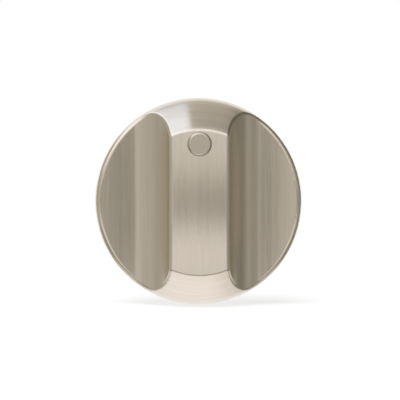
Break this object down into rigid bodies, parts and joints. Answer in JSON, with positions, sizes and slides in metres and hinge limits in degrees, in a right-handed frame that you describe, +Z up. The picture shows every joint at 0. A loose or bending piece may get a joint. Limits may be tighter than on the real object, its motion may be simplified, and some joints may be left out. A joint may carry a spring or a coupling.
{
  "type": "oven control knob",
  "caption": "Round brushed-metal oven control knob with a grip bar between dished finger scoops, a round indicator near the top and a D-shaft socket with a spring behind.",
  "frame": {"origin": "centre of the shaft socket's mouth, on the plane of the back rim", "axes": "+Y along the shaft axis out of the back, so the face looks along -Y; +Z up along the grip bar, towards the indicator"},
  "size_m": [0.057, 0.026, 0.057],
  "materials": {
    "satin_metal": "satin nickel over a zinc casting, brushed along the grip bar",
    "dot_metal": "fine matt metal",
    "insert_plastic": "matt heat-resistant moulding",
    "spring_steel": "bright rolled strip",
    "screw_steel": "zinc-plated"
  },
  "bodies": {
    "root": {"knob_body": "satin_metal", "indicator_dot": "dot_metal", "hub_insert": "insert_plastic", "shaft_spring": "spring_steel", "insert_screws": "screw_steel"}
  },
  "joints": []
}
